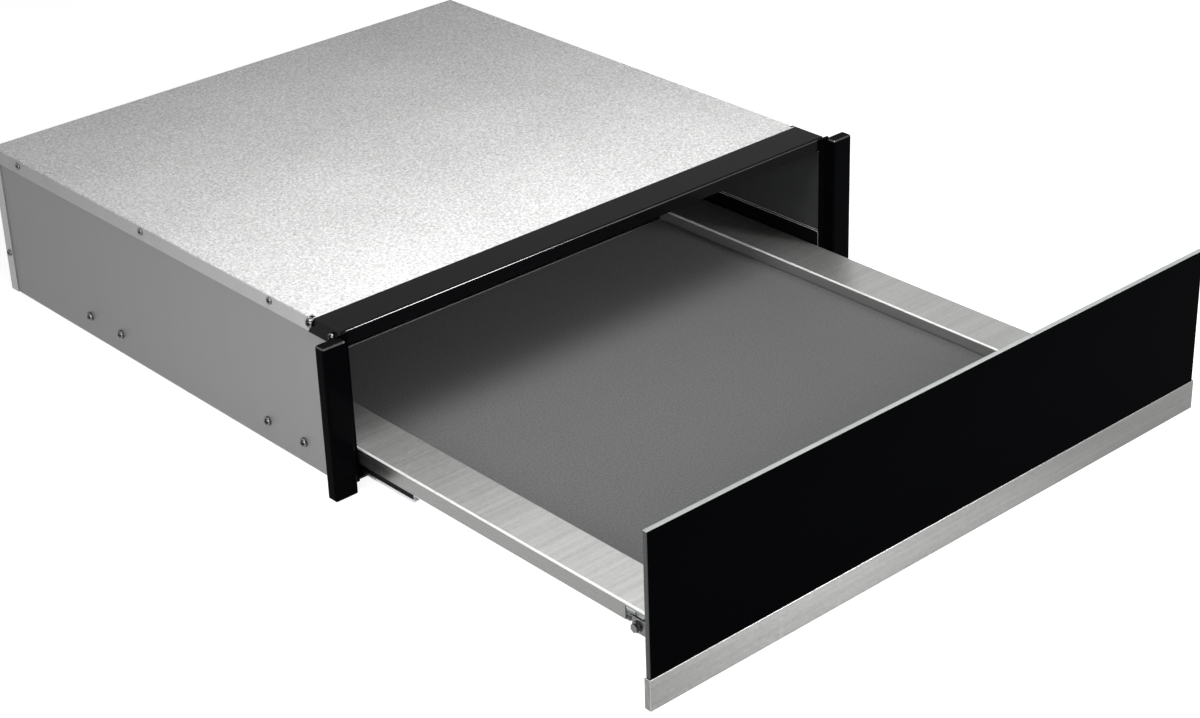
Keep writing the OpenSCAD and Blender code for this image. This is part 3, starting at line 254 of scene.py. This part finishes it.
def moulded(name, base, rough, grain=700.0, contrast=0.08, specular=0.4, depth=0.12, cloudy=1.0):
    """Moulded plastic or rubber with a fine eroded grain."""
    t = Tree(name)
    fine = t.noise(grain, 3.0, 0.6)
    cloud = t.noise(30.0, 2.0, 0.5)
    cloud = t.span(cloud, 0.35, 0.65, -0.5 * cloudy, 0.5 * cloudy)
    v = t.math("ADD", t.span(fine, 0.35, 0.65, -0.5, 0.5), cloud)
    t.shade(v, 1.0, base, contrast)
    t.roughness(t.span(fine, *MIDDLE, rough - 0.06, rough + 0.08))
    t.normal(t.bump(fine, depth, 0.00008))
    t.set(Metallic=0.0, Specular_IOR_Level=specular)
    return t.mat


MAT = {
    "cover": spangled("cover_sheet", (0.53, 0.53, 0.528), metallic=0.0, contrast=0.56,
                      specular=0.25),
    "galvanised": spangled("case_sheet", (0.36, 0.36, 0.358), grain=1.2, contrast=0.2),
    "flange": coated_sheet("cover_flange", (0.50, 0.50, 0.498), rough=0.45, metallic=0.0,
                           contrast=0.10, grain=600.0),
    "side": coated_sheet("side_sheet", (0.250, 0.250, 0.250), metallic=0.2),
    "frame": lacquer("black_frame", (0.0022, 0.0023, 0.0026), rough=0.12, specular=0.03),
    "frame_edge": lacquer("black_frame_edge", (0.004, 0.004, 0.0045), rough=0.10, specular=0.8),
    "enamel": lacquer("black_enamel", (0.040, 0.041, 0.041), rough=0.15, specular=0.22),
    # The liners' broken edges in a light grey: a painted highlight along the black enamel's
    # edges and its ledge.
    "enamel_edge_painted_highlight": lacquer("black_enamel_edge", (0.42, 0.42, 0.42), rough=0.2, specular=0.8),
    "zinc": plated("zinc_runner", (0.60, 0.61, 0.63)),
    "cage": plated("cage_steel", (0.50, 0.47, 0.36), rough=0.3),
    "glass": lacquer("front_glass_face", (0.0006, 0.0007, 0.0011), rough=0.05, peel=20.0,
                     specular=0.004, dust=0.1),
    # The glass's broken edges on top in a light grey: a painted highlight, the lit copy of one
    # ground edge.
    "glass_edge_painted_highlight": moulded("front_glass_edge", (0.34, 0.36, 0.35), rough=0.35, grain=2500.0,
                          contrast=0.15),
    # The same edges at the sides and foot in a dark grey: painted shade, the shaded copy.
    "glass_side_painted_shade": moulded("front_glass_side", (0.028, 0.031, 0.030), rough=0.25, grain=2500.0,
                          contrast=0.2, specular=0.3),
    "strip": brushed("front_strip_sheet", (0.205, 0.205, 0.20), along="x", rough=0.40,
                     smear=0.95, contrast=0.26, lines=900.0, slow=240.0),
    # The strip's broken edges in a lighter copy of its steel: a painted highlight along its
    # edges.
    "strip_edge_painted_highlight": brushed("front_strip_edge", (0.34, 0.34, 0.335), along="x", rough=0.25),
    # The tray's folds in a near-white copy of its steel: a painted highlight along the rims.
    "tray_fold_painted_highlight": brushed("tray_fold_painted_highlight", (0.85, 0.85, 0.84), along="y", rough=0.35, contrast=0.03,
                         lines=900.0, metallic=0.3),
    # Near-black for the runners' recessed web: painted shade in the groove.
    "groove": lacquer("runner_groove_painted_shade", (0.004, 0.004, 0.004), rough=0.3, specular=0.03),
    "carrier": coated_sheet("carrier_sheet", (0.09, 0.09, 0.095), rough=0.5, metallic=0.0),
    "tray": brushed("tray_sheet", (0.36, 0.36, 0.354), along="x", rough=0.36, contrast=0.26,
                    lines=1300.0, slow=260.0, metallic=0.9, smear=0.75),
    # The tray's outer sides in a darker copy of its steel: painted shade.
    "skirt": brushed("tray_skirt_painted_shade", (0.22, 0.22, 0.216), along="y", rough=0.26, contrast=0.045,
                     lines=900.0, metallic=0.9),
    "post": lacquer("side_trim_paint", (0.0012, 0.0013, 0.0016), rough=0.12, specular=0.006),
    # The tray's inner walls in a darker copy of its steel: painted shade.
    "wall": brushed("tray_wall_painted_shade", (0.30, 0.30, 0.295), along="y", rough=0.40, contrast=0.06,
                    lines=900.0, metallic=0.7),
    # Zinc darkened well below the runners' zinc: painted shade on the brackets under the tray.
    "bracket": plated("bracket_zinc_painted_shade", (0.15, 0.15, 0.15), rough=0.25),
    "pan": spangled("pan_sheet", (0.42, 0.42, 0.42), rough=(0.34, 0.46), contrast=0.15),
    "mat": moulded("tray_mat_rubber", (0.101, 0.101, 0.102), rough=0.6, grain=620.0,
                   contrast=0.50, specular=0.25, depth=0.3, cloudy=0.03),
    # Also darkens the mat's sides as a painted shadow line.
    "rubber": moulded("black_rubber", (0.02, 0.02, 0.02), rough=0.6, grain=1200.0),
    "knob": moulded("knob_plastic", (0.018, 0.018, 0.019), rough=0.38, grain=1600.0),
    "switch": moulded("switch_plastic", (0.016, 0.016, 0.018), rough=0.22, grain=1800.0,
                      depth=0.04),
    "lamp": moulded("lamp_lens", (0.80, 0.26, 0.04), rough=0.12, grain=900.0, depth=0.02),
    "resin": moulded("cream_resin", (0.55, 0.50, 0.38), rough=0.4, grain=500.0),
    "copper": plated("bare_copper", (0.70, 0.38, 0.24), rough=0.3),
    "sleeve": moulded("wire_sleeve", (0.72, 0.72, 0.69), rough=0.7, grain=2200.0, depth=0.4),
    "fan": brushed("fan_sheet", (0.62, 0.62, 0.63), along="x", rough=0.3),
    "motor": coated_sheet("motor_core", (0.12, 0.12, 0.125), rough=0.45, metallic=0.5),
    "heater": plated("heater_tube", (0.26, 0.24, 0.22), rough=0.38, contrast=0.25),
    "shaft": plated("ground_steel", (0.58, 0.58, 0.59), rough=0.16),
    "plunger": moulded("plunger_plastic", (0.62, 0.62, 0.60), rough=0.4),
    # Zinc darkened well below its own grey: a painted dark reflection, standing in for the dark
    # surroundings the heads mirror.
    "screw": plated("screw_zinc_painted_dark_reflection", (0.15, 0.15, 0.155), rough=0.16),
    # Near-black for the deep part of each cross recess: painted shade in the recess.
    "recess": plated("screw_recess_painted_shade", (0.03, 0.03, 0.03), rough=0.5),
}

# The look of each material slot of the record.
LOOK = {
    "galvanised_sheet": "galvanised", "side_sheet": "side", "black_enamel": "enamel",
    "black_frame": "frame", "zinc_runner": "zinc", "cage_steel": "cage", "front_glass": "glass",
    "strip_steel": "strip", "carrier_sheet": "carrier", "tray_steel": "tray",
    "pan_steel": "pan", "mat_rubber": "mat", "buffer_rubber": "rubber",
    "knob_plastic": "knob", "switch_plastic": "switch", "lamp_plastic": "lamp",
    "phenolic": "resin", "copper_probe": "copper", "wire_sleeve": "sleeve",
    "fan_sheet": "fan", "motor_steel": "motor", "heater_steel": "heater",
    "shaft_steel": "shaft", "plunger_plastic": "plunger", "screw_steel": "screw",
}

for name, ob in NODES.items():
    ob.data.materials.clear()
    ob.data.materials.append(MAT[LOOK[SLOT_OF[name]]])


# ---------------------------------------------------------------- dressed pieces

def finished(ob, node):
    """Applies the object's modifiers and hands it to the node's body in the node's place."""
    bpy.context.view_layer.update()
    graph = bpy.context.evaluated_depsgraph_get()
    done = bpy.data.meshes.new_from_object(ob.evaluated_get(graph))
    ob.modifiers.clear()
    ob.data = done
    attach(ob, BODY_OF[node])
    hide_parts(node)


def merged(node):
    """The node's mesh for editing, with the points that lie on each other made one."""
    bm = bmesh.new()
    bm.from_mesh(NODES[node].data)
    bmesh.ops.remove_doubles(bm, verts=bm.verts, dist=MERGE)
    return bm


def dressed(node, width, segments=2, angle=30.0, material=None, extra=()):
    """The node's own form with its sharp edges broken, as folded and moulded edges are.

    Each pair in extra gives a look to the faces that its test picks.
    """
    bm = merged(node)
    bmesh.ops.dissolve_limit(bm, angle_limit=math.radians(1.0), verts=bm.verts, edges=bm.edges)
    for f in bm.faces:
        f.smooth = True
        f.material_index = 0
    me = bpy.data.meshes.new(node + "_dressed")
    bm.to_mesh(me)
    bm.free()
    ob = bpy.data.objects.new(node + "_dressed", me)
    scene.collection.objects.link(ob)
    ob.data.materials.append(material or MAT[LOOK[SLOT_OF[node]]])
    for look, _ in extra:
        ob.data.materials.append(MAT[look])
    mod = ob.modifiers.new("edges", "BEVEL")
    mod.width = width
    mod.segments = segments
    mod.limit_method = "ANGLE"
    mod.angle_limit = math.radians(angle)
    mod.use_clamp_overlap = True
    flat = ob.modifiers.new("flat", "WEIGHTED_NORMAL")
    flat.mode = "FACE_AREA"
    flat.weight = 100
    flat.keep_sharp = False
    finished(ob, node)
    for i, (_, picked) in enumerate(extra):
        for p in ob.data.polygons:
            if picked(p):
                p.material_index = i + 1


def slanted(p):
    """A face of a bend or a broken edge, square to none of the three ways."""
    return max(abs(c) for c in p.normal) < SQUARE


def upright(p):
    """A face that looks straight to the left or right."""
    return abs(p.normal.x) > SQUARE


def trim_edge(p):
    """The broken edges of a side trim that catch the light: on top, and at the left front."""
    at_corner = p.normal.x < CORNERWISE and p.normal.y < CORNERWISE
    return slanted(p) and (p.normal.z > UPWARD or at_corner)


def groove(p):
    """The web of a runner's middle member, between its two lips, where near-black stands in for
    the shade in the groove.
    """
    return abs(p.normal.x) > SIDEWAYS and abs(abs(p.center.x) - GROOVE_X) < GROOVE_NEAR


dressed("top_cover", TRAY_EDGE, material=MAT["cover"],
        extra=(("flange", lambda p: abs(p.normal.x) > SIDEWAYS),))
for side in ("left", "right"):
    dressed("side_panel_" + side, SHEET_EDGE)
    dressed("side_trim_" + side, PLATE_EDGE, angle=40, material=MAT["post"],
            extra=(("frame_edge", trim_edge),))
    dressed("side_liner_" + side, FOLD_EDGE, extra=(
        # The liners' slanted edge faces take the light grey: a painted highlight along the
        # ledge.
        ("enamel_edge_painted_highlight", slanted),
        # The liners' upright faces below the ledge take the darker frame black: painted shade
        # under the ledge.
        ("frame", lambda p: upright(p) and p.center.z < LEDGE_Z)))
    dressed("fixed_runner_" + side, FOLD_EDGE)
    dressed("drawer_runner_" + side, FOLD_EDGE)
    dressed("middle_runner_" + side, TRAY_EDGE, extra=(("groove", groove),))
for name in ("back_panel", "control_strip", "base_pan", "cavity_ceiling", "duct_panel",
             "bay_floor", "runner_brackets", "front_carrier", "drawer_pan", "fan_motor",
             "latch_body"):
    dressed(name, SHEET_EDGE)
for name in ("top_rail", "lower_rail"):
    dressed(name, FOLD_EDGE, extra=(
        ("frame_edge", lambda p: slanted(p) and 0.0 < p.normal.z < 0.5),))
# The strip's slanted edge faces take the lighter copy: a painted highlight.
dressed("front_strip", PLATE_EDGE, extra=(("strip_edge_painted_highlight", slanted),))
dressed("drawer_tray", TRAY_EDGE, extra=(
    # The rims' bends take the near-white copy: a painted highlight along each fold.
    ("tray_fold_painted_highlight", lambda p: slanted(p) and p.normal.x < 0.1),
    # The tray's upright walls and skirts take the darker copies: painted shade on its sides.
    ("wall", lambda p: upright(p) and abs(p.center.x) < RIM_X),
    ("skirt", lambda p: upright(p) and abs(p.center.x) > RIM_X)))
# The mat's sides and rounded edges take the near-black rubber: a painted shadow line around the
# mat.
dressed("tray_mat", MAT_EDGE, 4, extra=(("rubber", lambda p: abs(p.normal.z) < LEVEL),))
# The brackets take the darkened zinc: painted shade under the tray.
dressed("panel_brackets", FOLD_EDGE, material=MAT["bracket"])
dressed("adjusting_bolts", FOLD_EDGE)
for name in ("thermostat_body", "switch_body", "power_rocker", "terminal_block",
             "temperature_limiter", "thermostat_knob"):
    dressed(name, PLASTIC_EDGE, 3)
dressed("cable_gland", SHEET_EDGE, 3)
dressed("front_glass", PLATE_EDGE, extra=(
    # Top edges take the light copy as painted highlight, side and foot edges the dark copy as
    # painted shade.
    ("glass_edge_painted_highlight", lambda p: abs(p.normal.y) < LEVEL and p.normal.z > UPWARD),
    ("glass_side_painted_shade", lambda p: abs(p.normal.y) < LEVEL and p.normal.z <= UPWARD)))


# ---------------------------------------------------------------- screws

HEAD_SIDES, HEAD_RINGS = 56, 18
RIM_SHARE = 0.35        # of the head's height, up to where its rim stands straight
CROWN = 2.6             # power of the crown's curve, 2 is an ellipse
CROSS_REACH, CROSS_WIDTH = 0.76, 0.30       # shares of the head's radius
# Past the second share of the head's height, the cross recess is painted near-black as shade.
CROSS_DEPTH, CROSS_PAINTED_SHADE = 0.66, 0.25        # shares of its height: floor, start of the dark
END_SLOPE, SIDE_SLOPE = 0.35, 0.4           # shares of the recess that its walls take up
HEAD_SHARE = 0.9        # of the radius, past which a point belongs to the head's rim
AT_END = 1e-5           # metres, how near to the shank's end a point belongs to it
CREASE = 50.0           # degrees


def islands(me):
    """The separate solids of a mesh, each as a list of its points."""
    near = [[] for _ in me.vertices]
    for e in me.edges:
        a, b = e.vertices
        near[a].append(b)
        near[b].append(a)
    seen = [False] * len(near)
    for start in range(len(near)):
        if seen[start]:
            continue
        seen[start] = True
        stack, found = [start], []
        while stack:
            v = stack.pop()
            found.append(me.vertices[v].co)
            for w in near[v]:
                if not seen[w]:
                    seen[w] = True
                    stack.append(w)
        yield found


def cross_depth(u, v, size, width, depth):
    """Depth of a cross recess at (u, v), with sloping walls."""
    def arm(a, b):
        along = min(1.0, max(0.0, (size - abs(a)) / (END_SLOPE * size)))
        over = min(1.0, max(0.0, (width - abs(b)) / (SIDE_SLOPE * width)))
        return min(along, over)
    return depth * max(arm(u, v), arm(v, u))


def screws(node, axis):
    """Pan heads with a cross recess and a shank, in the places of the node's plain screws; the
    deep part of each recess is painted near-black as shade.
    """
    bm = bmesh.new()
    o1, o2 = [i for i in range(3) if i != axis]
    joined = merged(node)
    plain = bpy.data.meshes.new(node + "_plain")
    joined.to_mesh(plain)
    joined.free()
    for pts in islands(plain):
        lo = [min(p[i] for p in pts) for i in range(3)]
        hi = [max(p[i] for p in pts) for i in range(3)]
        c1, c2 = (lo[o1] + hi[o1]) / 2, (lo[o2] + hi[o2]) / 2
        R = (hi[o1] - lo[o1]) / 2

        def reach(p):
            return math.hypot(p[o1] - c1, p[o2] - c2)

        def point(u, v, at):
            q = [0.0, 0.0, 0.0]
            q[o1], q[o2], q[axis] = c1 + u, c2 + v, at
            return bm.verts.new(q)

        wide = [p[axis] for p in pts if reach(p) > HEAD_SHARE * R]
        middle = sum(wide) / len(wide)
        s = 1 if abs(hi[axis] - middle) < abs(lo[axis] - middle) else -1
        top = hi[axis] if s > 0 else lo[axis]
        foot = min(wide) if s > 0 else max(wide)
        end = lo[axis] if s > 0 else hi[axis]
        shank = max(reach(p) for p in pts if abs(p[axis] - end) < AT_END)
        h = abs(top - foot)
        flat = RIM_SHARE * h
        turn = [2 * math.pi * j / HEAD_SIDES for j in range(HEAD_SIDES)]
        rows, dark = [], set()
        for k in range(HEAD_RINGS + 1):
            r = R * math.sin(0.5 * math.pi * k / HEAD_RINGS)
            z = foot * s + flat + (h - flat) * math.sqrt(max(0.0, 1.0 - (r / R) ** CROWN))
            row = []
            for t in turn if k else turn[:1]:
                u, v = r * math.cos(t), r * math.sin(t)
                d = cross_depth(u, v, CROSS_REACH * R, CROSS_WIDTH * R, CROSS_DEPTH * h)
                row.append(point(u, v, (z - d) * s))
                # Points deep in the recess get the near-black: painted shade.
                if d > CROSS_PAINTED_SHADE * h:
                    dark.add(row[-1])
            rows.append(row)
        for r, at in ((R, foot), (shank, foot), (shank, end)):
            rows.append([point(r * math.cos(t), r * math.sin(t), at) for t in turn])
        for a, b in zip(rows, rows[1:]):
            for j in range(HEAD_SIDES):
                i = (j + 1) % HEAD_SIDES
                ring = (a[0], b[j], b[i]) if len(a) == 1 else (a[j], b[j], b[i], a[i])
                bm.faces.new(ring).material_index = int(dark.issuperset(ring))
        bm.faces.new(rows[-1])
    bmesh.ops.recalc_face_normals(bm, faces=bm.faces)
    for f in bm.faces:
        f.smooth = True
    me = bpy.data.meshes.new(node + "_heads")
    bm.to_mesh(me)
    bm.free()
    me.set_sharp_from_angle(angle=math.radians(CREASE))
    ob = bpy.data.objects.new(node + "_heads", me)
    scene.collection.objects.link(ob)
    me.materials.append(MAT["screw"])
    me.materials.append(MAT["recess"])
    finished(ob, node)


for name, way in (("runner_screws", 0), ("cover_screws", 0), ("rail_screws", 0),
                  ("back_screws", 1), ("motor_screws", 1), ("control_screws", 2)):
    screws(name, way)


# ---------------------------------------------------------------- camera

def photo_camera():
    """The photograph's camera, solved from the part's edges.

    Angles are in radians, the focal length is in pixels of a picture 1200 wide, and the
    shifts and the distance from the target are in metres.
    """
    az, el, roll, focal, width = -0.71691, 0.48283, -0.03496, 2535.53, 1200.0
    tx, ty, dist = 0.014863, -0.046443, 2.103915
    target = Vector((0.0, -0.232, 0.062))
    back = Vector((math.sin(az) * math.cos(el), -math.cos(az) * math.cos(el), math.sin(el)))
    level = Vector((math.cos(az), math.sin(az), 0.0))
    rise = back.cross(level)
    right = math.cos(roll) * level + math.sin(roll) * rise
    up = -math.sin(roll) * level + math.cos(roll) * rise
    data = bpy.data.cameras.new("photo_camera")
    data.sensor_fit = "HORIZONTAL"
    data.sensor_width = 36.0
    data.lens = focal / width * data.sensor_width
    data.clip_start, data.clip_end = 0.05, 60.0
    cam = bpy.data.objects.new("photo_camera", data)
    scene.collection.objects.link(cam)
    place = target + tx * right + ty * up + dist * back
    turn = Matrix((right, up, back)).transposed()
    cam.matrix_world = Matrix.Translation(place) @ turn.to_4x4()
    scene.camera = cam


photo_camera()


# ---------------------------------------------------------------- studio

# Name, place, point aimed at, width and height, and power in watts.
LAMPS = (
    ("over_front", (-0.06, -0.35, 0.60), (-0.04, -0.25, 0.13), (0.8, 0.25), 3.8),
    ("over_left", (-0.25, -0.36, 0.60), (-0.12, -0.25, 0.13), (0.5, 0.2), 0.8),
    ("edge_line", (0.9, -0.95, 1.25), (0.0, -0.3, 0.1), (1.2, 0.12), 3.0),
    ("front_right", (0.85, -1.7, 0.75), (0.0, -0.60, 0.05), (0.3, 0.5), 15.0),
    ("left_low", (-1.1, -0.75, 0.35), (-0.26, -0.1, 0.08), (0.8, 0.3), 6.0),
    ("fill_right", (0.9, -1.9, 0.9), (0.0, -0.40, 0.05), (0.9, 0.6), 4.0),
    ("front_low", (-0.3, -2.4, 0.80), (0.0, -0.25, 0.04), (1.2, 0.4), 9.0),
)

WORLD_FILL, WORLD_SEEN = 0.05, 1.0          # strength as light, and as seen
FLOOR_GREY = 0.50
FLOOR_HALF, FLOOR_DROP = 12.0, 0.0005       # metres
GLOW = {"From Min": 0.9, "From Max": 2.2, "To Min": 0.88, "To Max": 1.0}    # by distance


def area(name, place, aim, size, power):
    data = bpy.data.lights.new(name, "AREA")
    data.shape = "RECTANGLE"
    data.size, data.size_y = size
    data.energy = power
    ob = bpy.data.objects.new(name, data)
    scene.collection.objects.link(ob)
    ob.location = place
    ob.rotation_mode = "QUATERNION"
    ob.rotation_quaternion = (Vector(aim) - Vector(place)).to_track_quat("-Z", "Y")


def looked_at(nt):
    """1 for rays of the camera, off gloss and through glass, 0 for the light on the part."""
    path = nt.nodes.new("ShaderNodeLightPath")
    value = path.outputs["Is Camera Ray"]
    for kind in ("Is Glossy Ray", "Is Transmission Ray"):
        larger = nt.nodes.new("ShaderNodeMath")
        larger.operation = "MAXIMUM"
        nt.links.new(value, larger.inputs[0])
        nt.links.new(path.outputs[kind], larger.inputs[1])
        value = larger.outputs[0]
    return value


def white_world():
    """White where it is looked at, dim as a light."""
    world = bpy.data.worlds.new("studio")
    scene.world = world
    world.use_nodes = True
    nt = world.node_tree
    bg = nt.nodes["Background"]
    level = nt.nodes.new("ShaderNodeMapRange")
    level.inputs["To Min"].default_value = WORLD_FILL
    level.inputs["To Max"].default_value = WORLD_SEEN
    nt.links.new(looked_at(nt), level.inputs["Value"])
    nt.links.new(level.outputs["Result"], bg.inputs["Strength"])
    bg.inputs["Color"].default_value = (1.0, 1.0, 1.0, 1.0)


def floor_paper():
    """Matt paper that takes the shadow, with a glow added where it is looked at."""
    mat = bpy.data.materials.new("floor_paper")
    mat.use_nodes = True
    nt = mat.node_tree
    bsdf = nt.nodes["Principled BSDF"]
    bsdf.inputs["Base Color"].default_value = (FLOOR_GREY, FLOOR_GREY, FLOOR_GREY, 1)
    bsdf.inputs["Roughness"].default_value = 0.9
    bsdf.inputs["Specular IOR Level"].default_value = 0.0
    far = nt.nodes.new("ShaderNodeVectorMath")
    far.operation = "LENGTH"
    nt.links.new(nt.nodes.new("ShaderNodeTexCoord").outputs["Object"], far.inputs[0])
    fade = nt.nodes.new("ShaderNodeMapRange")
    for key, value in GLOW.items():
        fade.inputs[key].default_value = value
    nt.links.new(far.outputs["Value"], fade.inputs["Value"])
    amount = nt.nodes.new("ShaderNodeMath")
    amount.operation = "MULTIPLY"
    nt.links.new(looked_at(nt), amount.inputs[0])
    nt.links.new(fade.outputs["Result"], amount.inputs[1])
    glow = nt.nodes.new("ShaderNodeEmission")
    nt.links.new(amount.outputs[0], glow.inputs["Strength"])
    both = nt.nodes.new("ShaderNodeAddShader")
    nt.links.new(bsdf.outputs[0], both.inputs[0])
    nt.links.new(glow.outputs[0], both.inputs[1])
    nt.links.new(both.outputs[0], nt.nodes["Material Output"].inputs["Surface"])
    return mat


def studio():
    white_world()
    me = bpy.data.meshes.new("floor")
    bm = bmesh.new()
    bmesh.ops.create_grid(bm, x_segments=8, y_segments=8, size=FLOOR_HALF)
    bm.to_mesh(me)
    bm.free()
    me.materials.append(floor_paper())
    floor = bpy.data.objects.new("floor", me)
    scene.collection.objects.link(floor)
    floor.location = (0, 0, -FLOOR_DROP)
    for lamp in LAMPS:
        area(*lamp)


studio()
scene.view_settings.view_transform = "Standard"
